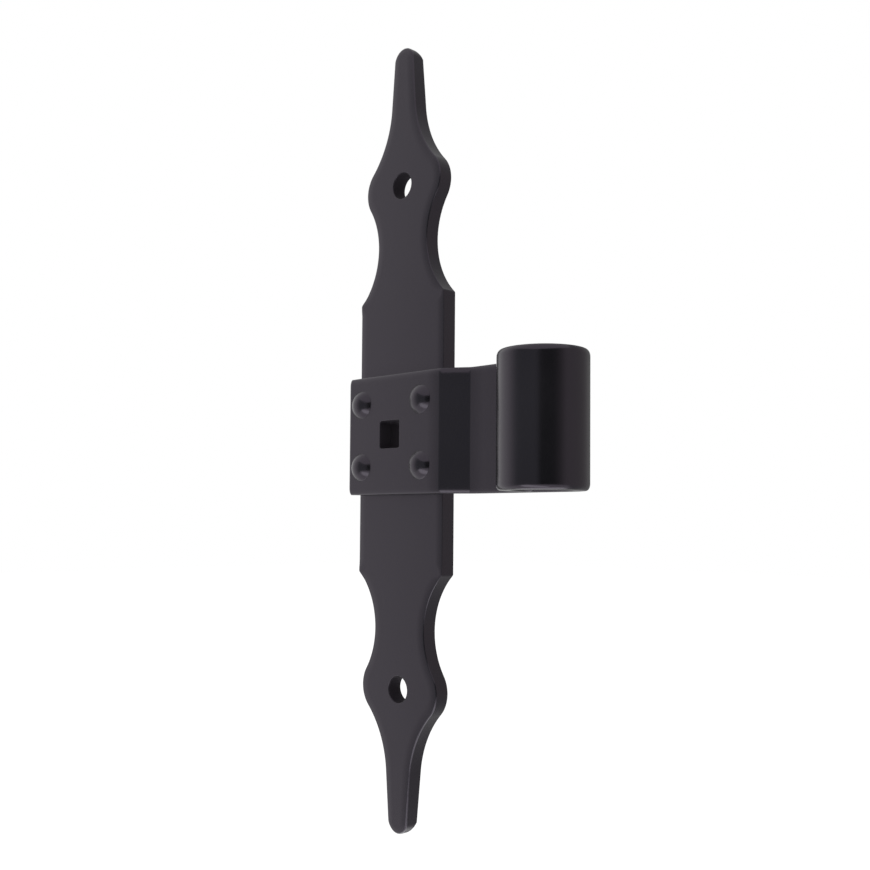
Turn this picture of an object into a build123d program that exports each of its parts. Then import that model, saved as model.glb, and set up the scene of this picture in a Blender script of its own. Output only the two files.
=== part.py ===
from build123d import *
import os
from math import asin, cos, degrees, radians, sin, sqrt

# Tee hinge leaf: an ornamental plate, a strap riveted to its front and an eye rolled from the strap.
# The origin is the middle of the eye's bore. +Z runs up the pivot, the plate lies towards -X, and the
# back that lies on the shutter faces +Y. Lengths are millimetres and angles are degrees.

# Eye and strap
bore_d = 13.0  # bore of the eye, which turns on the pintle
strap_t = 3.6  # thickness of the bar
strap_width = 30.3  # width of the 30 mm bar over its coat, and so the height of the eye
reach = 51.4  # from the plate's centre line to the pivot
strap_overhang = 0.7  # of the strap's flat end past the plate's edge
crank_angle = 32.0  # slope of the step behind the plate's edge
crank_clearance = 0.15  # from the plate's edge to the start of the step
over_bend_r = 3.0  # inside radius of the step's first bend, over the plate's edge
level_bend_r = 1.0  # inside radius of its second bend
seam_gap = 0.3  # between the rolled end and the strap's front
strap_end_r = 0.8  # corners of the strap's flat end, seen from above
strap_edge = 0.6  # bevel along the bar's edges and round the eye's rims

# Plate
plate_length = 200.5
plate_width = 30.5
plate_t = 4.25
finial_length = 36.0  # from the screw hole to the tip
tip_r = 3.45
tip_lean = 4.5  # lean of the finial's sides
hollow_r = 25.0  # hollow curve between finial and lobe
lobe_width = 27.2  # across the round lobes beside a screw hole
lobe_r = 7.6
neck_width = 18.0
neck_drop = 15.0  # from the screw hole to the narrowest point of the neck
shoulder_r = 0.8  # corners where the neck meets the straight sides
plate_front_r = 0.8  # softened front edge

# Holes for the screws and for the square neck of the bolt
screw_d = 6.7
bolt_square = 7.0
bolt_corner_r = 0.5
hole_rim = 0.2  # bevel round the front of each of these holes

# Rivets
rivet_d = 4.0
rivet_fit = 0.1  # slack of the shank across its hole
rivet_head_d = 7.2
rivet_head_h = 1.8
rivet_tail_d = 6.4  # hammered tail, flush with the plate's back
rivet_tail_h = 1.4
rivet_pitch_x = 21.6
rivet_pitch_z = 16.2

# Places that follow from the sizes above
eye_mid_r = bore_d / 2 + strap_t / 2
back_y = bore_d / 2 + strap_t
plate_front_y = back_y - plate_t
pad_front_y = plate_front_y - strap_t
pad_mid_y = plate_front_y - strap_t / 2
plate_x = -reach
screw_z = plate_length / 2 - finial_length
grip = strap_t + plate_t
pad_end_x = plate_x - plate_width / 2 - strap_overhang
crank_x = plate_x + plate_width / 2 + crank_clearance
over_mid_r = over_bend_r + strap_t / 2
level_mid_r = level_bend_r + strap_t / 2
bends_depth = (over_mid_r + level_mid_r) * (1 - cos(radians(crank_angle)))
web_length = (plate_t - bends_depth) / sin(radians(crank_angle))
roll_angle = 270 + degrees(asin((bore_d / 2 - seam_gap) / back_y))

# Planes that face the front, on the plate's back and on the strap's front over the plate
back_plane = Plane(origin=(plate_x, back_y, 0), x_dir=(1, 0, 0), z_dir=(0, -1, 0))
pad_plane = Plane(origin=(plate_x, pad_front_y, 0), x_dir=(1, 0, 0), z_dir=(0, -1, 0))


def plate_outline():
    """Outer shape of the plate: tangent arcs for one quarter, mirrored across and down."""
    lobe = Vector(lobe_width / 2 - lobe_r, screw_z)

    # The finial's side leaves the tip's arc and leans outwards on its way down.
    outward = Vector(cos(radians(tip_lean)), sin(radians(tip_lean)))
    down = Vector(sin(radians(tip_lean)), -cos(radians(tip_lean)))
    tip_side = Vector(0, plate_length / 2 - tip_r) + outward * tip_r

    # The hollow curve touches the finial's side and the lobe.
    to_lobe = lobe - tip_side - outward * hollow_r
    finial_side = to_lobe.dot(down) - sqrt((hollow_r + lobe_r) ** 2 - to_lobe.dot(outward) ** 2)
    hollow_end = tip_side + down * finial_side
    hollow = hollow_end + outward * hollow_r
    lobe_top = lobe + (hollow - lobe) * (lobe_r / (lobe_r + hollow_r))

    # The neck's curve touches the lobe, is upright at the narrowest point and ends at the shoulder.
    inset = neck_width / 2 - lobe.X
    neck_r = (inset**2 + neck_drop**2 - lobe_r**2) / (2 * (lobe_r - inset))
    neck = Vector(neck_width / 2 + neck_r, screw_z - neck_drop)
    lobe_bottom = lobe + (neck - lobe) * (lobe_r / (lobe_r + neck_r))
    shoulder = Vector(plate_width / 2, neck.Y - sqrt(neck_r**2 - (neck.X - plate_width / 2) ** 2))

    tip_arc = TangentArc((0, plate_length / 2), tip_side, tangent=(1, 0))
    finial_line = Line(tip_side, hollow_end)
    hollow_arc = TangentArc(hollow_end, lobe_top, tangent=finial_line % 1)
    lobe_arc = TangentArc(lobe_top, lobe_bottom, tangent=hollow_arc % 1)
    neck_arc = TangentArc(lobe_bottom, shoulder, tangent=lobe_arc % 1)
    quarter = Curve() + [tip_arc, finial_line, hollow_arc, lobe_arc, neck_arc]
    side = Line(shoulder, (shoulder.X, -shoulder.Y))
    right_half = quarter + side + mirror(quarter, Plane.XZ)
    face = make_face(right_half + mirror(right_half, Plane.YZ))
    columns = face.vertices().group_by(Axis.X)
    return fillet(columns[0] + columns[-1], shoulder_r)


def rivet_places():
    """Centres of the four rivets, seen from the front."""
    return GridLocations(rivet_pitch_x, rivet_pitch_z, 2, 2)


def rivet_tail():
    """Cone that fills the countersink at the back, below a head at the origin."""
    return Pos(0, 0, rivet_tail_h / 2 - grip) * Cone(rivet_tail_d / 2, rivet_d / 2, rivet_tail_h)


def bolt_hole():
    """Square hole for the bolt's neck, through strap and plate."""
    return pad_plane * extrude(RectangleRounded(bolt_square, bolt_square, bolt_corner_r), -grip)


def rivet_holes():
    """Four holes through strap and plate, each countersunk at the back for the rivet's tail."""
    hole = extrude(Circle((rivet_d + rivet_fit) / 2), -grip) + rivet_tail()
    return [pad_plane * place * hole for place in rivet_places()]


def tee_plate():
    """Ornamental plate with two screw holes, the bolt's square hole and the rivet holes."""
    plate = back_plane * extrude(plate_outline(), plate_t)
    plate = fillet(plate.faces().sort_by(Axis.Y)[0].edges(), plate_front_r)
    for place in GridLocations(0, 2 * screw_z, 1, 2):
        plate -= back_plane * place * extrude(Circle(screw_d / 2), plate_t)
    plate = chamfer(plate.faces().sort_by(Axis.Y)[0].inner_wires().edges(), hole_rim)
    return plate - bolt_hole() - rivet_holes()


def strap_line(offset):
    """One face of the bar seen from above, at an offset behind the bar's middle."""
    pad = Line((pad_end_x, pad_mid_y + offset), (crank_x, pad_mid_y + offset))
    bend_back = JernArc(pad @ 1, pad % 1, over_mid_r - offset, crank_angle)
    web = PolarLine(bend_back @ 1, web_length, crank_angle)
    bend_level = JernArc(web @ 1, web % 1, level_mid_r + offset, -crank_angle)
    run = Line(bend_level @ 1, (0, eye_mid_r + offset))
    roll = JernArc(run @ 1, run % 1, eye_mid_r + offset, -roll_angle)
    return Curve() + [pad, bend_back, web, bend_level, run, roll]


def eye_strap():
    """Flat bar on the plate's front, stepped back past its edge and rolled forward into the eye."""
    front = strap_line(-strap_t / 2)
    back = strap_line(strap_t / 2)
    profile = make_face(front + back + Line(front @ 0, back @ 0) + Line(front @ 1, back @ 1))
    profile = fillet(profile.vertices().group_by(Axis.X)[0], strap_end_r)
    strap = extrude(profile, strap_width / 2, both=True)
    for end in (0, -1):
        strap = chamfer(strap.faces().sort_by(Axis.Z)[end].edges(), strap_edge)
    strap -= bolt_hole()
    pad_face = strap.faces().filter_by(Axis.Y).sort_by(Axis.Y)[0]
    strap = chamfer(pad_face.inner_wires().edges(), hole_rim)
    return strap - rivet_holes()


def rivets():
    """Four rivets: dome head on the strap, shank through both bars, tail flush with the plate's back."""
    dome_r = ((rivet_head_d / 2) ** 2 + rivet_head_h**2) / (2 * rivet_head_h)
    ball = Pos(0, 0, rivet_head_h - dome_r) * Sphere(dome_r, rotation=(0, 90, 0))
    head = split(ball, Plane.XY)
    rivet = head + extrude(Circle(rivet_d / 2), -grip) + rivet_tail()
    return Compound(children=[pad_plane * place * rivet for place in rivet_places()])


os.makedirs("parts", exist_ok=True)
export_step(tee_plate(), "parts/tee_plate.step")
export_step(eye_strap(), "parts/eye_strap.step")
export_step(rivets(), "parts/rivets.step")
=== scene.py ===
import math

import bmesh
import bpy
from mathutils import Matrix, Vector
from mathutils.geometry import delaunay_2d_cdt


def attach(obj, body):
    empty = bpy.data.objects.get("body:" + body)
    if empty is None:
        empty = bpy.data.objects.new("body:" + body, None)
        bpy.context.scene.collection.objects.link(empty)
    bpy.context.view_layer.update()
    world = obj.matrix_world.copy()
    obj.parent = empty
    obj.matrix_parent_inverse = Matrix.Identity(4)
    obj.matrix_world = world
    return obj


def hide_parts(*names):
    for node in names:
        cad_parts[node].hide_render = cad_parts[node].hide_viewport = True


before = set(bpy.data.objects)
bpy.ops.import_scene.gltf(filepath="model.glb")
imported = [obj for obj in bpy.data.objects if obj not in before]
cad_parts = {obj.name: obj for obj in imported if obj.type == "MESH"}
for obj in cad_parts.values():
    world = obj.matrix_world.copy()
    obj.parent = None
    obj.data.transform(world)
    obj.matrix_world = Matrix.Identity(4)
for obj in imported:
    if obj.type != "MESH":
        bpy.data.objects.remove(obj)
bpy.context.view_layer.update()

# Tee plate: the upright ornamental plate, stamped from 4 mm steel bar and powder coated black. Its straight
# sides keep a sharp edge, its curves and tips are rounder, and its back is flat, to lie on the shutter.
# Two screws, a carriage bolt and four rivets go through it.
scene = bpy.context.scene
mm = 0.001
plate_x = -51.4 * mm
plate_t = 4.25 * mm
plate_back_y = 10.1 * mm
plate_front_y = plate_back_y - plate_t
plate_length = 200.5 * mm
plate_width = 30.5 * mm
finial_length = 36.0 * mm
tip_r = 3.45 * mm
tip_lean = math.radians(4.5)
hollow_r = 25.0 * mm
lobe_width = 27.2 * mm
lobe_r = 7.6 * mm
neck_width = 18.0 * mm
neck_drop = 15.0 * mm
shoulder_r = 0.8 * mm
edge_fall_width = 2.2 * mm
edge_fall = math.radians(8)
edge_steps = 6
side_corner_r = 0.12 * mm
curve_corner_r = 0.35 * mm
tip_corner_r = 0.7 * mm
tip_back_r = 1.7 * mm
tip_softness = 1.5
tip_fall_loss = 0.5
shoulder_room = 0.9
side_steps = 4
plate_back_r = 0.2 * mm
screw_z = plate_length / 2 - finial_length
screw_hole_r = 3.35 * mm
hole_rim_r = 0.2 * mm
wall_facing = 0.9
bolt_hole_width = 7.0 * mm
bolt_corner_r = 0.5 * mm
rivet_pitch_x = 21.6 * mm
rivet_pitch_z = 16.2 * mm
rivet_hole_r = 2.05 * mm
rivet_tail_r = 3.2 * mm
rivet_tail_depth = 1.4 * mm
rivet_rim_r = 0.1 * mm
cone_start = 0.01 * mm
weld_gap = 0.0005 * mm
flat_gap = 0.0001 * mm
coat_dark = (0.0052, 0.0052, 0.0059, 1)
coat_light = (0.0073, 0.0073, 0.0082, 1)
coat_gloss = 0.53
coat_sheen = (1.0, 0.86, 1.08, 1)
# Painted shade: the punched hole walls take this darker colour in place of the shade inside the holes.
hole_wall_shade_colour = (0.0045, 0.0039, 0.0045, 1)
hole_smoothest = 0.75
hole_roughest = 0.9
peel_size = 1.1 * mm
peel_share = 0.7
peel_depth = 0.006 * mm
grain_size = 0.3 * mm
grain_share = 0.3
speckle_size = 0.5 * mm
speckle_share = 0.2
drift_size = 16 * mm
drift_share = 0.8


def arc(centre, radius, start, end, steps, hollow=False):
    """Points on an arc without its end, each with the direction that faces out of the steel."""
    side = -1 if hollow else 1
    points = []
    for step in range(steps):
        turn = start + (end - start) * step / steps
        spoke = Vector((math.cos(turn), math.sin(turn)))
        points.append((centre + spoke * radius, spoke * side))
    return points


def heading(step):
    """Angle of a step on the plate, from across to up."""
    return math.atan2(step.y, step.x)


def near_edge(width, steps, start, depth=None):
    """Rows of a rounded edge, from a face that looks back along an axis round to the side. Each row says
    how far in it lies, where on the axis, and how it faces to the side and along the axis."""
    depth = depth or width
    rows = []
    for step in range(steps + 1):
        turn = math.pi / 2 * step / steps
        facing = Vector((depth * math.sin(turn), -width * math.cos(turn))).normalized()
        place = start + depth * (1 - math.cos(turn))
        rows.append((width * (1 - math.sin(turn)), place, facing.x, facing.y))
    return rows


def far_edge(width, steps, end, depth=None):
    """Rows of a rounded edge, from the side round to a face that looks forward along an axis."""
    rows = reversed(near_edge(width, steps, 0, depth))
    return [(inset, end - place, side, -face) for inset, place, side, face in rows]


def plate_edge(fall_width, corner_r, back_r):
    """Rows of the plate's side: its front falls away slowly, turns the corner and runs to the back."""
    fall_r = fall_width / math.sin(edge_fall)
    corner_x = fall_width + corner_r * (1 - math.sin(edge_fall))
    corner_y = plate_front_y + fall_r * (1 - math.cos(edge_fall)) + corner_r * math.cos(edge_fall)
    rows = []
    for step in range(edge_steps):
        turn = edge_fall * step / edge_steps
        place = plate_front_y + fall_r * (1 - math.cos(turn))
        rows.append((corner_x - fall_r * math.sin(turn), place, math.sin(turn), -math.cos(turn)))
    for step in range(edge_steps + 1):
        turn = edge_fall + (math.pi / 2 - edge_fall) * step / edge_steps
        inset = corner_r * (1 - math.sin(turn))
        rows.append((inset, corner_y - corner_r * math.cos(turn), math.sin(turn), -math.cos(turn)))
    return rows + far_edge(back_r, steps=4, end=plate_back_y)


def plate_quarter():
    """Upper right quarter of the plate's outline, from the tip past the shoulder, with the rows of its
    side. The tip is rounded most, and the straight side keeps the bar's sharp edge."""
    tip = Vector((0, plate_length / 2 - tip_r))
    lobe = Vector((lobe_width / 2 - lobe_r, screw_z))
    outward = Vector((math.cos(tip_lean), math.sin(tip_lean)))
    down = Vector((math.sin(tip_lean), -math.cos(tip_lean)))
    tip_side = tip + outward * tip_r
    to_lobe = lobe - tip_side - outward * hollow_r
    reach = math.sqrt((hollow_r + lobe_r) ** 2 - to_lobe.dot(outward) ** 2)
    hollow = tip_side + down * (to_lobe.dot(down) - reach) + outward * hollow_r
    inset = neck_width / 2 - lobe.x
    neck_r = (inset**2 + neck_drop**2 - lobe_r**2) / (2 * (lobe_r - inset))
    neck = Vector((neck_width / 2 + neck_r, screw_z - neck_drop))
    shoulder_x = plate_width / 2 - shoulder_r
    shoulder_drop = math.sqrt((neck_r + shoulder_r) ** 2 - (neck.x - shoulder_x) ** 2)
    shoulder = Vector((shoulder_x, neck.y - shoulder_drop))
    quarter = []
    for p, out in arc(tip, tip_r, math.pi / 2, tip_lean, steps=14):
        soft = min(1, tip_softness * out.y)
        fall_width = edge_fall_width * (1 - tip_fall_loss * soft)
        corner_r = curve_corner_r + (tip_corner_r - curve_corner_r) * soft
        back_r = plate_back_r + (tip_back_r - plate_back_r) * soft
        quarter.append((p, out, plate_edge(fall_width, corner_r, back_r)))
    hollow_end = heading(lobe - hollow) % math.tau
    curves = arc(hollow, hollow_r, math.pi + tip_lean, hollow_end, steps=22, hollow=True)
    curves += arc(lobe, lobe_r, heading(hollow - lobe), heading(neck - lobe), steps=26)
    neck_start = heading(lobe - neck) % math.tau
    neck_end = heading(shoulder - neck) % math.tau
    curves += arc(neck, neck_r, neck_start, neck_end, steps=28, hollow=True)
    curves += arc(shoulder, shoulder_r, heading(neck - shoulder), 0, steps=6)
    for step in range(side_steps):
        curves.append((shoulder + Vector((shoulder_r, -shoulder_r * step)), Vector((1, 0))))
    for p, out in curves:
        sharp = min(1, max(0, 1 - (p.y - shoulder.y) / neck_drop))
        corner_r = curve_corner_r + (side_corner_r - curve_corner_r) * sharp
        room = min(1, shoulder_room * (p - shoulder).length / (edge_fall_width + corner_r))
        quarter.append((p, out, plate_edge(edge_fall_width * room, corner_r * room, plate_back_r)))
    return quarter


def plate_outline():
    """Whole outline of the plate, counterclockwise: the quarter, mirrored down and across."""
    quarter = plate_quarter()
    down = Vector((1, -1))
    across = Vector((-1, 1))
    right = quarter + [(p * down, out * down, rows) for p, out, rows in reversed(quarter)]
    left = [(p * across, out * across, rows) for p, out, rows in reversed(right[1:-1])]
    return list(reversed(right + left))


def round_hole(centre, radius):
    """Outline of a round hole. Its steel lies outside, so its points face the middle."""
    return arc(centre, radius, 0, math.tau, steps=48, hollow=True)


def bolt_hole():
    """Outline of the square hole for the bolt's neck, with its rounded corners."""
    points = []
    half = bolt_hole_width / 2 - bolt_corner_r
    for corner, (across, up) in enumerate(((1, 1), (-1, 1), (-1, -1), (1, -1))):
        start = corner * math.pi / 2
        end = start + math.pi / 2
        centre = Vector((across * half, up * half))
        points += arc(centre, bolt_corner_r, start, end, steps=5, hollow=True)
        last = Vector((math.cos(end), math.sin(end)))
        points.append((centre + last * bolt_corner_r, -last))
    return points


def new_steel():
    """Empty mesh whose points keep the way they face and whether they lie in a punched hole."""
    steel = bmesh.new()
    steel.verts.layers.float_vector.new("facing")
    steel.verts.layers.float.new("punched")
    return steel


def add_point(steel, place, facing, punched=False):
    """One point of a piece."""
    point = steel.verts.new(place)
    point[steel.verts.layers.float_vector["facing"]] = facing
    point[steel.verts.layers.float["punched"]] = float(punched)
    return point


def bar_side(steel, outline, profiles, punched=False):
    """Side wall of a flat bar or of a hole in it, with the rows of its profile at each point of the
    outline. Gives back its rings of points at both faces."""
    rings = []
    for level in zip(*profiles):
        ring = []
        for (p, out), (inset, y, side, face) in zip(outline, level):
            flat = p - out * inset
            place = (plate_x + flat.x, y, flat.y)
            facing = (side * out.x, face, side * out.y)
            ring.append(add_point(steel, place, facing, punched and side > wall_facing))
        rings.append(ring)
    for near, far in zip(rings, rings[1:]):
        for i in range(len(near)):
            steel.faces.new((near[i - 1], near[i], far[i], far[i - 1]))
    return rings[0], rings[-1]


def hole_side(steel, outline, rows, punched=False):
    """Side wall of a hole, which has the same profile all round."""
    return bar_side(steel, outline, [rows] * len(outline), punched)


def flat_face(steel, rings):
    """Flat face between an outer ring, which comes first, and the rings of the holes in it."""
    points = []
    loops = []
    for ring in rings:
        loops.append(list(range(len(points), len(points) + len(ring))))
        points += ring
    flat = [Vector((point.co.x, point.co.z)) for point in points]
    inside = 1
    _, _, faces, sources, _, covers = delaunay_2d_cdt(flat, [], loops, inside, flat_gap)
    for face, cover in zip(faces, covers):
        if cover == [0]:
            steel.faces.new([points[sources[corner][0]] for corner in face])


def steel_piece(steel, name):
    """Turns finished steel into a piece that is shaded by the facing of its points."""
    bmesh.ops.remove_doubles(steel, verts=steel.verts, dist=weld_gap)
    bmesh.ops.recalc_face_normals(steel, faces=steel.faces)
    mesh = bpy.data.meshes.new(name)
    steel.to_mesh(mesh)
    steel.free()
    mesh.shade_smooth()
    facing = mesh.attributes["facing"]
    directions = [Vector(point.vector).normalized() for point in facing.data]
    mesh.normals_split_custom_set_from_vertices(directions)
    mesh.attributes.remove(mesh.attributes["facing"])
    piece = bpy.data.objects.new(name, mesh)
    scene.collection.objects.link(piece)
    return piece


def rivet_places():
    """Middles of the four rivets on the plate."""
    return [Vector((x * rivet_pitch_x / 2, z * rivet_pitch_z / 2)) for x in (-1, 1) for z in (-1, 1)]


def make_plate():
    """Plate with its two screw holes, the bolt's square hole and the countersunk rivet holes."""
    steel = new_steel()
    back = far_edge(plate_back_r, steps=3, end=plate_back_y)
    rim = near_edge(hole_rim_r, steps=4, start=plate_front_y)
    slope = rivet_tail_r - rivet_hole_r
    cone = Vector((rivet_tail_depth, slope)).normalized()
    countersink = near_edge(rivet_rim_r, steps=2, start=plate_front_y) + [
        (0, plate_back_y - rivet_tail_depth, 1, 0),
        (cone_start, plate_back_y - rivet_tail_depth, cone.x, cone.y),
        (slope, plate_back_y - rivet_rim_r, cone.x, cone.y),
        (slope + rivet_rim_r, plate_back_y, 0, 1),
    ]
    outline = plate_outline()
    sides = [bar_side(steel, [point[:2] for point in outline], [rows for _, _, rows in outline])]
    for z in (-screw_z, screw_z):
        screw_hole = round_hole(Vector((0, z)), screw_hole_r)
        sides.append(hole_side(steel, screw_hole, rim + back, punched=True))
    sides.append(hole_side(steel, bolt_hole(), rim + back, punched=True))
    for middle in rivet_places():
        sides.append(hole_side(steel, round_hole(middle, rivet_hole_r), countersink))
    flat_face(steel, [near for near, far in sides])
    flat_face(steel, [far for near, far in sides])
    return steel_piece(steel, "ornamental_plate")


def coat_group():
    """Powder coat's surface: orange peel, fine grain, slow drift of tone and gloss, and painted shade that
    darkens the rougher punched hole walls.
    """
    group = bpy.data.node_groups.new("powder coat", "ShaderNodeTree")
    sockets = group.interface
    sockets.new_socket("Place", in_out="INPUT", socket_type="NodeSocketVector")
    sockets.new_socket("Dark", in_out="INPUT", socket_type="NodeSocketColor")
    sockets.new_socket("Light", in_out="INPUT", socket_type="NodeSocketColor")
    sockets.new_socket("Smoothest", in_out="INPUT", socket_type="NodeSocketFloat")
    sockets.new_socket("Roughest", in_out="INPUT", socket_type="NodeSocketFloat")
    sockets.new_socket("Peel Depth", in_out="INPUT", socket_type="NodeSocketFloat")
    sockets.new_socket("Punched", in_out="INPUT", socket_type="NodeSocketFloat")
    sockets.new_socket("Colour", in_out="OUTPUT", socket_type="NodeSocketColor")
    sockets.new_socket("Roughness", in_out="OUTPUT", socket_type="NodeSocketFloat")
    sockets.new_socket("Normal", in_out="OUTPUT", socket_type="NodeSocketVector")
    nodes = group.nodes
    given = nodes.new("NodeGroupInput")
    result = nodes.new("NodeGroupOutput")

    def noise(size, detail):
        """Cloudy pattern whose blots are about the given size."""
        cloud = nodes.new("ShaderNodeTexNoise")
        cloud.inputs["Scale"].default_value = 1 / size
        cloud.inputs["Detail"].default_value = detail
        group.links.new(given.outputs["Place"], cloud.inputs["Vector"])
        return cloud.outputs["Fac"]

    def spread(value, low, high, new_low, new_high):
        """Stretches the part of a pattern between low and high over a new range."""
        stretch = nodes.new("ShaderNodeMapRange")
        group.links.new(value, stretch.inputs["Value"])
        stretch.inputs["From Min"].default_value = low
        stretch.inputs["From Max"].default_value = high
        for name, limit in (("To Min", new_low), ("To Max", new_high)):
            if isinstance(limit, (int, float)):
                stretch.inputs[name].default_value = limit
            else:
                group.links.new(limit, stretch.inputs[name])
        return stretch.outputs["Result"]

    def together(first, second):
        """Sum of two patterns."""
        total = nodes.new("ShaderNodeMath")
        total.operation = "ADD"
        group.links.new(first, total.inputs[0])
        group.links.new(second, total.inputs[1])
        return total.outputs["Value"]

    peel = spread(noise(peel_size, detail=1), 0.2, 0.8, 0, peel_share)
    grain = spread(noise(grain_size, detail=1), 0.2, 0.8, 0, grain_share)
    drift = spread(noise(drift_size, detail=3), 0.3, 0.7, 0, drift_share)
    speckle = spread(noise(speckle_size, detail=2), 0.35, 0.65, 0, speckle_share)
    tone = together(drift, speckle)
    mix = nodes.new("ShaderNodeMix")
    mix.data_type = "RGBA"
    group.links.new(tone, mix.inputs["Factor"])
    group.links.new(given.outputs["Dark"], mix.inputs["A"])
    group.links.new(given.outputs["Light"], mix.inputs["B"])
    # Painted shade: points on the punched hole walls get the darker hole colour.
    hole_shade_mix = nodes.new("ShaderNodeMix")
    hole_shade_mix.data_type = "RGBA"
    group.links.new(given.outputs["Punched"], hole_shade_mix.inputs["Factor"])
    group.links.new(mix.outputs["Result"], hole_shade_mix.inputs["A"])
    hole_shade_mix.inputs["B"].default_value = hole_wall_shade_colour
    group.links.new(hole_shade_mix.outputs["Result"], result.inputs["Colour"])
    gloss = spread(tone, 0, 1, given.outputs["Smoothest"], given.outputs["Roughest"])
    torn = spread(tone, 0, 1, hole_smoothest, hole_roughest)
    wall = nodes.new("ShaderNodeMix")
    group.links.new(given.outputs["Punched"], wall.inputs["Factor"])
    group.links.new(gloss, wall.inputs["A"])
    group.links.new(torn, wall.inputs["B"])
    group.links.new(wall.outputs["Result"], result.inputs["Roughness"])
    bump = nodes.new("ShaderNodeBump")
    group.links.new(together(peel, grain), bump.inputs["Height"])
    group.links.new(given.outputs["Peel Depth"], bump.inputs["Distance"])
    group.links.new(bump.outputs["Normal"], result.inputs["Normal"])
    return group


powder_coat = coat_group()


def coat_material(name, smoothest, roughest):
    """Black powder coat for one piece."""
    material = bpy.data.materials.new(name)
    material.use_nodes = True
    nodes = material.node_tree.nodes
    links = material.node_tree.links
    shader = nodes["Principled BSDF"]
    place = nodes.new("ShaderNodeTexCoord")
    coat = nodes.new("ShaderNodeGroup")
    coat.node_tree = powder_coat
    coat.inputs["Dark"].default_value = coat_dark
    coat.inputs["Light"].default_value = coat_light
    coat.inputs["Smoothest"].default_value = smoothest
    coat.inputs["Roughest"].default_value = roughest
    coat.inputs["Peel Depth"].default_value = peel_depth
    links.new(place.outputs["Object"], coat.inputs["Place"])
    mark = nodes.new("ShaderNodeAttribute")
    mark.attribute_name = "punched"
    links.new(mark.outputs["Fac"], coat.inputs["Punched"])
    links.new(coat.outputs["Colour"], shader.inputs["Base Color"])
    links.new(coat.outputs["Roughness"], shader.inputs["Roughness"])
    links.new(coat.outputs["Normal"], shader.inputs["Normal"])
    shader.inputs["Specular IOR Level"].default_value = coat_gloss
    shader.inputs["Specular Tint"].default_value = coat_sheen
    return material


plate = make_plate()
plate.data.materials.append(coat_material("plate coat", smoothest=0.19, roughest=0.27))
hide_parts("tee_plate")
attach(plate, "root")

# Eye strap: a 30 mm flat steel bar, cranked back over the plate's edge and rolled into an open eye. Its
# front bows slowly beside the crank. It lies on the plate's front, is coated with it, and its square
# hole lines up with the plate's.
bar_t = 3.6 * mm
bar_width = 30.3 * mm
front_edge_width = 1.8 * mm
front_edge_depth = 0.6 * mm
back_edge_width = 1.5 * mm
back_edge_depth = 0.9 * mm
back_edge_on_plate = 0.2
bar_end_r = 1.1 * mm
bore_r = 6.5 * mm
crank_angle = math.radians(32)
over_bend_r = 3.0 * mm
over_crease_r = 2.0 * mm
over_bow = math.radians(5.5)
over_bow_r = 40.0 * mm
level_bend_r = 1.0 * mm
level_bow = math.radians(4)
level_bow_r = 57.0 * mm
crank_clearance = 0.15 * mm
seam_gap = 0.3 * mm
end_overhang = 0.7 * mm
joint_rim_r = 0.1 * mm
pad_front_y = plate_front_y - bar_t
pad_end_x = plate_x - plate_width / 2 - end_overhang
crank_x = plate_x + plate_width / 2 + crank_clearance
bar_edge_steps = 8
corner_steps = 6
bend_steps = 6
roll_steps = 96


def turned(angle):
    """Direction at an angle, from across to the back."""
    return Vector((math.cos(angle), math.sin(angle)))


def bend(corner, start, middle, end, first_r, second_r):
    """Points and headings round a corner between two straight stretches, as an arc from the heading at
    the start to the one in the middle and another arc to the heading at the end."""
    square = math.copysign(math.pi / 2, end - start)
    first = first_r * math.tan(abs(middle - start) / 2)
    second = second_r * math.tan(abs(end - middle) / 2)
    back = first + (first + second) * math.sin(abs(end - middle)) / math.sin(abs(end - start))
    centre = corner - turned(start) * back + turned(start + square) * first_r
    points = []
    for step in range(bend_steps):
        angle = start + (middle - start) * step / bend_steps
        points.append((centre - turned(angle + square) * first_r, angle))
    centre += turned(middle + square) * (second_r - first_r)
    for step in range(bend_steps + 1):
        angle = middle + (end - middle) * step / bend_steps
        points.append((centre - turned(angle + square) * second_r, angle))
    return points


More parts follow.
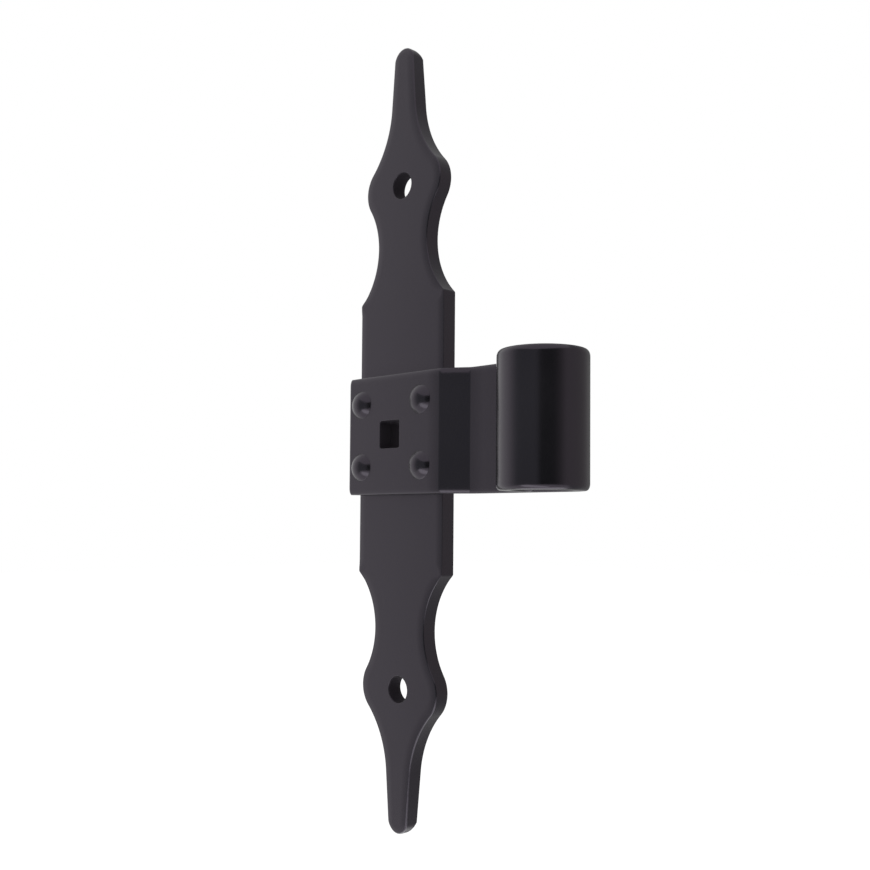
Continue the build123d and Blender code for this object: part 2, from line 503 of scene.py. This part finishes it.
def bar_face(side, inset):
    """Front (-1) or back (1) of the bar seen from above, drawn in by an inset, with its facings. The back
    is drawn in less where the coat fills the joint with the plate, and keeps clear of the plate's edge."""
    half = bar_t / 2
    joint_inset = inset * back_edge_on_plate if side > 0 else inset
    offset = side * (half - inset)
    joint_offset = side * (half - joint_inset)
    pad_mid_y = plate_front_y - half
    eye_mid_r = bore_r + half
    square = math.pi / 2
    slope = math.tan(crank_angle / 2)
    over_x = crank_x + (over_bend_r + half - joint_offset) * slope
    level_x = crank_x + (over_bend_r + half - offset) * slope + plate_t / math.tan(crank_angle)
    over_corner = Vector((over_x, pad_mid_y + joint_offset))
    level_corner = Vector((level_x, eye_mid_r + offset))
    if side < 0:
        bends = bend(over_corner, 0, over_bow, crank_angle, over_bow_r - inset, over_crease_r - inset)
        bends += bend(level_corner, crank_angle, level_bow, 0, level_bend_r + inset, level_bow_r + inset)
    else:
        over_r = over_bend_r + joint_inset
        bends = bend(over_corner, 0, crank_angle / 2, crank_angle, over_r, over_r)
        level_r = level_bend_r + bar_t - inset
        bends += bend(level_corner, crank_angle, level_bow, 0, level_r, level_bow_r + bar_t - inset)
    corner = Vector((pad_end_x + bar_end_r, pad_mid_y + side * (half - bar_end_r)))
    points = []
    for step in range(corner_steps + 1):
        turn = square * step / corner_steps
        facing = Vector((-math.cos(turn), side * math.sin(turn)))
        points.append((corner + facing * (bar_end_r - joint_inset), facing))
    points += [(p, turned(angle + side * square)) for p, angle in bends]
    roll_end = -math.pi - math.asin((bore_r - seam_gap) / (bore_r + bar_t)) + bar_end_r / eye_mid_r
    for step in range(roll_steps + 1):
        spoke = turned(square + (roll_end - square) * step / roll_steps)
        points.append((spoke * (eye_mid_r + offset), spoke * side))
    last_corner = turned(roll_end) * (eye_mid_r + side * (half - bar_end_r))
    for step in range(1, corner_steps + 1):
        facing = turned(roll_end - square * step / corner_steps)
        if side < 0:
            facing = turned(roll_end + math.pi + square * step / corner_steps)
        points.append((last_corner + facing * (bar_end_r - inset), facing))
    return points


def edge_rows(depth, width):
    """Rows of a face of the bar, from its lower rounded edge to its upper one."""
    low = near_edge(depth, bar_edge_steps, -bar_width / 2, width)
    return low + far_edge(depth, bar_edge_steps, bar_width / 2, width)


def make_strap():
    """Bar built up in rows from its lower edge to its upper one, with the holes through its pad."""
    steel = new_steel()
    edges = {-1: (front_edge_depth, front_edge_width), 1: (back_edge_depth, back_edge_width)}
    faces = {-1: [], 1: []}
    for face, (depth, width) in edges.items():
        for inset, z, side, up in edge_rows(depth, width):
            ring = []
            for p, out in bar_face(face, inset):
                ring.append(add_point(steel, (p.x, p.y, z), (side * out.x, side * out.y, up)))
            faces[face].append(ring)
    fronts = faces[-1]
    backs = faces[1]
    last = len(fronts[0]) - 1
    middle = len(fronts) // 2 - 1
    for row in range(len(fronts) - 1):
        for rings in (fronts, backs):
            low = rings[row]
            high = rings[row + 1]
            for i in range(last):
                if row != middle or i != corner_steps:
                    steel.faces.new((low[i], low[i + 1], high[i + 1], high[i]))
        for i in (0, last):
            steel.faces.new((fronts[row][i], backs[row][i], backs[row + 1][i], fronts[row + 1][i]))
    for row in (0, -1):
        for i in range(last):
            steel.faces.new((fronts[row][i], fronts[row][i + 1], backs[row][i + 1], backs[row][i]))
    square = near_edge(hole_rim_r, steps=4, start=pad_front_y)
    square += far_edge(joint_rim_r, steps=2, end=plate_front_y)
    holes = [hole_side(steel, bolt_hole(), square, punched=True)]
    straight = near_edge(rivet_rim_r, steps=2, start=pad_front_y)
    straight += far_edge(rivet_rim_r, steps=2, end=plate_front_y)
    for place in rivet_places():
        holes.append(hole_side(steel, round_hole(place, rivet_hole_r), straight))
    for end, rings in ((0, fronts), (1, backs)):
        low = rings[middle]
        high = rings[middle + 1]
        pad = [low[corner_steps], low[corner_steps + 1], high[corner_steps + 1], high[corner_steps]]
        flat_face(steel, [pad] + [hole[end] for hole in holes])
    return steel_piece(steel, "cranked_strap")


strap = make_strap()
strap.data.materials.append(coat_material("strap coat", smoothest=0.17, roughest=0.25))
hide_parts("eye_strap")
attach(strap, "root")

# Rivets: four soft steel rivets that clamp the strap to the plate, coated with it. Each has a
# domed head on the strap, a shank through both bars and a tail hammered flush with the back.
head_width = 7.2 * mm
head_height = 1.8 * mm
shank_width = 4.0 * mm
grip = plate_back_y - pad_front_y
lathe_r = 10 * mm
lathe_points = 48
dome_points = 33
lathe_gap = 0.001 * mm
sharp_edge = math.radians(35)


def rivet_tree():
    """Geometry nodes that turn one rivet on a lathe and set it at the four places."""
    tree = bpy.data.node_groups.new("four rivets", "GeometryNodeTree")
    nodes = tree.nodes
    rivet_sizes = ("Head Width", "Head Height", "Shank Width", "Tail Width", "Tail Depth", "Grip")
    for name in rivet_sizes + ("Pitch Across", "Pitch Up"):
        tree.interface.new_socket(name, in_out="INPUT", socket_type="NodeSocketFloat")
    tree.interface.new_socket("Coat", in_out="INPUT", socket_type="NodeSocketMaterial")
    tree.interface.new_socket("Rivets", in_out="OUTPUT", socket_type="NodeSocketGeometry")
    given = nodes.new("NodeGroupInput")
    result = nodes.new("NodeGroupOutput")

    def link(source, target):
        """Joins two sockets."""
        tree.links.new(source, target)

    def times(value, factor):
        """A size multiplied by a plain number."""
        node = nodes.new("ShaderNodeMath")
        node.operation = "MULTIPLY"
        link(value, node.inputs[0])
        node.inputs[1].default_value = factor
        return node.outputs["Value"]

    def less(value, amount):
        """One size less another."""
        node = nodes.new("ShaderNodeMath")
        node.operation = "SUBTRACT"
        link(value, node.inputs[0])
        link(amount, node.inputs[1])
        return node.outputs["Value"]

    def point(radius=None, height=None):
        """Point of the rivet's half section, at a radius and a height above the strap."""
        node = nodes.new("ShaderNodeCombineXYZ")
        if radius is not None:
            link(radius, node.inputs["X"])
        if height is not None:
            link(height, node.inputs["Y"])
        return node.outputs["Vector"]

    def line(start, end):
        """Straight stretch of the half section."""
        node = nodes.new("GeometryNodeCurvePrimitiveLine")
        link(start, node.inputs["Start"])
        link(end, node.inputs["End"])
        return node.outputs["Curve"]

    head_r = times(given.outputs["Head Width"], 0.5)
    shank_r = times(given.outputs["Shank Width"], 0.5)
    tail_r = times(given.outputs["Tail Width"], 0.5)
    tail_end = times(given.outputs["Grip"], -1)
    tail_start = less(tail_end, times(given.outputs["Tail Depth"], -1))
    dome = nodes.new("GeometryNodeCurveArc")
    dome.mode = "POINTS"
    dome.inputs["Resolution"].default_value = dome_points
    link(point(times(head_r, -1)), dome.inputs["Start"])
    link(point(height=given.outputs["Head Height"]), dome.inputs["Middle"])
    link(point(head_r), dome.inputs["End"])
    half_dome = nodes.new("GeometryNodeTrimCurve")
    link(dome.outputs["Curve"], half_dome.inputs["Curve"])
    half_dome.inputs["Start"].default_value = 0.5
    half_dome.inputs["End"].default_value = 1.0
    section = nodes.new("GeometryNodeJoinGeometry")
    link(half_dome.outputs["Curve"], section.inputs["Geometry"])
    link(line(point(head_r), point(shank_r)), section.inputs["Geometry"])
    link(line(point(shank_r), point(shank_r, tail_start)), section.inputs["Geometry"])
    link(line(point(shank_r, tail_start), point(tail_r, tail_end)), section.inputs["Geometry"])
    link(line(point(tail_r, tail_end), point(height=tail_end)), section.inputs["Geometry"])
    lathe = nodes.new("GeometryNodeCurvePrimitiveCircle")
    lathe.inputs["Resolution"].default_value = lathe_points
    lathe.inputs["Radius"].default_value = lathe_r
    to_axis = nodes.new("GeometryNodeTransform")
    link(section.outputs["Geometry"], to_axis.inputs["Geometry"])
    to_axis.inputs["Translation"].default_value = (-lathe_r, 0, 0)
    rivet = nodes.new("GeometryNodeCurveToMesh")
    link(lathe.outputs["Curve"], rivet.inputs["Curve"])
    link(to_axis.outputs["Geometry"], rivet.inputs["Profile Curve"])
    welded = nodes.new("GeometryNodeMergeByDistance")
    link(rivet.outputs["Mesh"], welded.inputs["Geometry"])
    welded.inputs["Distance"].default_value = lathe_gap
    places = nodes.new("GeometryNodeMeshGrid")
    link(given.outputs["Pitch Across"], places.inputs["Size X"])
    link(given.outputs["Pitch Up"], places.inputs["Size Y"])
    places.inputs["Vertices X"].default_value = 2
    places.inputs["Vertices Y"].default_value = 2
    copies = nodes.new("GeometryNodeInstanceOnPoints")
    link(places.outputs["Mesh"], copies.inputs["Points"])
    link(welded.outputs["Geometry"], copies.inputs["Instance"])
    on_strap = nodes.new("GeometryNodeTransform")
    link(copies.outputs["Instances"], on_strap.inputs["Geometry"])
    on_strap.inputs["Rotation"].default_value = (-math.pi / 2, 0, 0)
    on_strap.inputs["Translation"].default_value = (plate_x, pad_front_y, 0)
    real = nodes.new("GeometryNodeRealizeInstances")
    link(on_strap.outputs["Geometry"], real.inputs["Geometry"])
    coated = nodes.new("GeometryNodeSetMaterial")
    link(real.outputs["Geometry"], coated.inputs["Geometry"])
    link(given.outputs["Coat"], coated.inputs["Material"])
    link(coated.outputs["Geometry"], result.inputs["Rivets"])
    return tree


def make_rivets():
    """Runs the rivets' nodes and keeps the result as a plain mesh."""
    piece = bpy.data.objects.new("dome_rivets", bpy.data.meshes.new("dome_rivets"))
    scene.collection.objects.link(piece)
    modifier = piece.modifiers.new("four rivets", "NODES")
    modifier.node_group = rivet_tree()
    values = {
        "Head Width": head_width,
        "Head Height": head_height,
        "Shank Width": shank_width,
        "Tail Width": 2 * rivet_tail_r,
        "Tail Depth": rivet_tail_depth,
        "Grip": grip,
        "Pitch Across": rivet_pitch_x,
        "Pitch Up": rivet_pitch_z,
        "Coat": coat_material("rivet coat", smoothest=0.16, roughest=0.24),
    }
    for socket in modifier.node_group.interface.items_tree:
        if socket.name in values:
            modifier[socket.identifier] = values[socket.name]
    graph = bpy.context.evaluated_depsgraph_get()
    mesh = bpy.data.meshes.new_from_object(piece.evaluated_get(graph))
    piece.modifiers.remove(modifier)
    piece.data = mesh
    mesh.name = "dome_rivets"
    steel = bmesh.new()
    steel.from_mesh(mesh)
    bmesh.ops.recalc_face_normals(steel, faces=steel.faces)
    steel.to_mesh(mesh)
    steel.free()
    mesh.shade_smooth()
    mesh.set_sharp_from_angle(angle=sharp_edge)
    return piece


rivets = make_rivets()
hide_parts("rivets")
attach(rivets, "root")

# Light tent: a white tent round a floor of white paper. Both count as white where the camera or a
# reflection shows them, and the paper keeps the hinge's soft shadow.
scene.view_settings.view_transform = "Standard"
tent_light = 0.8
floor_z = -0.24
floor_reach = 4
paper_tone = (0.85, 0.85, 0.85, 1)
paper_roughness = 0.9
paper_glow = 0.4


def stage_sheet(name, corners, faces):
    """Thin sheet of the studio, which isn't part of the hinge."""
    mesh = bpy.data.meshes.new(name)
    mesh.from_pydata(corners, [], faces)
    sheet = bpy.data.objects.new(name, mesh)
    scene.collection.objects.link(sheet)
    return sheet


def flat_corners(left, right, near, far, z):
    """Corners of a sheet that lies flat, counterclockwise from above."""
    return [(left, near, z), (right, near, z), (right, far, z), (left, far, z)]


def seen_rays(nodes, links):
    """1 for the rays that show a background: camera, mirror and glass."""
    path = nodes.new("ShaderNodeLightPath")
    first = nodes.new("ShaderNodeMath")
    first.operation = "MAXIMUM"
    links.new(path.outputs["Is Camera Ray"], first.inputs[0])
    links.new(path.outputs["Is Glossy Ray"], first.inputs[1])
    second = nodes.new("ShaderNodeMath")
    second.operation = "MAXIMUM"
    links.new(first.outputs["Value"], second.inputs[0])
    links.new(path.outputs["Is Transmission Ray"], second.inputs[1])
    return second.outputs["Value"]


world = bpy.data.worlds.new("light tent")
scene.world = world
world.use_nodes = True
nodes = world.node_tree.nodes
links = world.node_tree.links
level = nodes.new("ShaderNodeMapRange")
links.new(seen_rays(nodes, links), level.inputs["Value"])
level.inputs["To Min"].default_value = tent_light
level.inputs["To Max"].default_value = 1.0
links.new(level.outputs["Result"], nodes["Background"].inputs["Strength"])
nodes["Background"].inputs["Color"].default_value = (1, 1, 1, 1)

floor_corners = flat_corners(-floor_reach, floor_reach, -floor_reach, floor_reach, floor_z)
floor = stage_sheet("floor", floor_corners, [(0, 1, 2, 3)])
paper = bpy.data.materials.new("white paper")
paper.use_nodes = True
nodes = paper.node_tree.nodes
links = paper.node_tree.links
shader = nodes["Principled BSDF"]
shader.inputs["Base Color"].default_value = paper_tone
shader.inputs["Roughness"].default_value = paper_roughness
shader.inputs["Specular IOR Level"].default_value = 0.0
shader.inputs["Emission Color"].default_value = (1, 1, 1, 1)
glow = nodes.new("ShaderNodeMath")
glow.operation = "MULTIPLY"
links.new(seen_rays(nodes, links), glow.inputs[0])
glow.inputs[1].default_value = paper_glow
links.new(glow.outputs["Value"], shader.inputs["Emission Strength"])
floor.data.materials.append(paper)

# Cloth: hangs all round the hinge and shows only in the coat's reflections. It is white at the left, dim
# and cool in front, black round the camera, and a warm grey to the right and behind. It sags in front of
# the camera, and its foot is drawn in at the left front. Turns are degrees from the front to the right.
cloth_r = 0.55
cloth_low = -0.236
cloth_high = 0.40
cloth_sag = 0.2
cloth_sag_turn = 28
cloth_sag_spread = 55
cloth_foot = 0.15
cloth_foot_turn = -47
cloth_foot_spread = 22
cloth_start = -180
cloth_end = 180
cloth_steps = 72
plain = (1.0, 1.0, 1.0)
cool = (0.94, 1.03, 1.03)
warm = (1.03, 0.98, 0.97)
cloth_tones = [
    (-180, 0.36, plain),
    (-165, 0.22, plain),
    (-150, 0.3, plain),
    (-128, 0.6, plain),
    (-118, 0.7, plain),
    (-108, 0.8, plain),
    (-92, 1.0, plain),
    (-58, 0.97, plain),
    (-50, 0.87, plain),
    (-43, 0.71, plain),
    (-28, 0.38, cool),
    (-20, 0.32, cool),
    (24, 0.34, cool),
    (33, 0.06, cool),
    (37, 0.04, cool),
    (66, 0.05, cool),
    (80, 0.2, warm),
    (97, 0.53, warm),
    (115, 0.5, warm),
    (150, 0.4, warm),
    (180, 0.36, plain),
]


def swell(turn, middle, spread):
    """Soft hump along the cloth: 1 in the middle, and next to nothing past twice the spread."""
    return math.exp(-(((turn - middle) / spread) ** 2))


def show_in_reflections(sheet):
    """Leaves a sheet of the studio to the coat's reflections alone."""
    sheet.visible_camera = False
    sheet.visible_diffuse = False
    sheet.visible_transmission = False
    sheet.visible_shadow = False


corners = []
for step in range(cloth_steps + 1):
    turn = cloth_start + (cloth_end - cloth_start) * step / cloth_steps
    sag = cloth_sag * swell(turn, cloth_sag_turn, cloth_sag_spread)
    foot = cloth_foot * swell(turn, cloth_foot_turn, cloth_foot_spread)
    side = math.sin(math.radians(turn))
    front = math.cos(math.radians(turn))
    for r, z in ((cloth_r - foot, cloth_low), (cloth_r, cloth_high - sag)):
        corners.append((r * side, -r * front, z))
faces = [(2 * step, 2 * step + 2, 2 * step + 3, 2 * step + 1) for step in range(cloth_steps)]
cloth = stage_sheet("camera cloth", corners, faces)
width = cloth.data.uv_layers.new(name="width")
for loop in cloth.data.loops:
    width.data[loop.index].uv = (loop.vertex_index // 2 / cloth_steps, loop.vertex_index % 2)
fabric = bpy.data.materials.new("grey cloth")
fabric.use_nodes = True
nodes = fabric.node_tree.nodes
links = fabric.node_tree.links
nodes.clear()
output = nodes.new("ShaderNodeOutputMaterial")
emission = nodes.new("ShaderNodeEmission")
ramp = nodes.new("ShaderNodeValToRGB")
spot = nodes.new("ShaderNodeUVMap")
spot.uv_map = "width"
split = nodes.new("ShaderNodeSeparateXYZ")
links.new(spot.outputs["UV"], split.inputs["Vector"])
links.new(split.outputs["X"], ramp.inputs["Fac"])
links.new(ramp.outputs["Color"], emission.inputs["Color"])
links.new(emission.outputs["Emission"], output.inputs["Surface"])
stops = ramp.color_ramp.elements
while len(stops) < len(cloth_tones):
    stops.new(0.5)
for stop, (turn, tone, tint) in zip(stops, cloth_tones):
    stop.position = (turn - cloth_start) / (cloth_end - cloth_start)
    stop.color = (*[tone * part for part in tint], 1)
cloth.data.materials.append(fabric)
show_in_reflections(cloth)

# Cards and pools: two grey cards behind the hinge, low and high, dim the reflections in its upper and lower
# edges. Two pools of light on the paper, in front and under the eye, brighten the edges that look down.
card_reach = 0.6
card_lift = 0.003
card_tone = (0.4, 0.4, 0.4, 1)
card_places = {"low card": (floor_z + card_lift, 0.14), "high card": (cloth_high, 0.22)}
pool_lift = 0.002
pool_colour = (0.93, 1.0, 0.93)
pools = {
    "front bounce": ((0.02, -0.29), (0.22, 0.48), -32, 0.43),
    "bounce under the eye": ((0.0, 0.03), (0.34, 0.19), 0, 0.3),
}
grey = bpy.data.materials.new("grey card")
grey.use_nodes = True
nodes = grey.node_tree.nodes
nodes.clear()
output = nodes.new("ShaderNodeOutputMaterial")
emission = nodes.new("ShaderNodeEmission")
emission.inputs["Color"].default_value = card_tone
grey.node_tree.links.new(emission.outputs["Emission"], output.inputs["Surface"])
for name, (z, near) in card_places.items():
    corners = flat_corners(-card_reach, card_reach, near, card_reach, z)
    card = stage_sheet(name, corners, [(0, 1, 2, 3)])
    card.data.materials.append(grey)
    show_in_reflections(card)
for name, (middle, size, turn, power) in pools.items():
    pool = bpy.data.lights.new(name, "AREA")
    pool.shape = "ELLIPSE"
    pool.size = size[0]
    pool.size_y = size[1]
    pool.energy = power
    pool.color = pool_colour
    lamp = bpy.data.objects.new(name, pool)
    lamp.location = (*middle, floor_z + pool_lift)
    lamp.rotation_euler = (math.pi, 0, math.radians(turn))
    lamp.visible_camera = False
    scene.collection.objects.link(lamp)

# Camera: at the photograph's viewing angle, to the right of the hinge and a little below its middle.
# Image sizes are those of an 870 by 870 picture.
image_width = 870
focal_pixels = 1036.74
centre_x = 438.42
centre_y = 479.96
camera_place = (140.98 * mm, -173.77 * mm, -22.01 * mm)
camera_turn = 0.782
camera_lift = 0.0405
camera_roll = 0.0075
lens = bpy.data.cameras.new("camera")
lens.sensor_width = 36
lens.lens = lens.sensor_width * focal_pixels / image_width
lens.shift_x = (image_width / 2 - centre_x) / image_width
lens.shift_y = (centre_y - image_width / 2) / image_width
lens.clip_start = 10 * mm
camera = bpy.data.objects.new("camera", lens)
place = Matrix.Translation(camera_place)
turn = Matrix.Rotation(camera_turn, 4, "Z")
lift = Matrix.Rotation(math.pi / 2 + camera_lift, 4, "X")
roll = Matrix.Rotation(camera_roll, 4, "Z")
camera.matrix_world = place @ turn @ lift @ roll
scene.collection.objects.link(camera)
scene.camera = camera
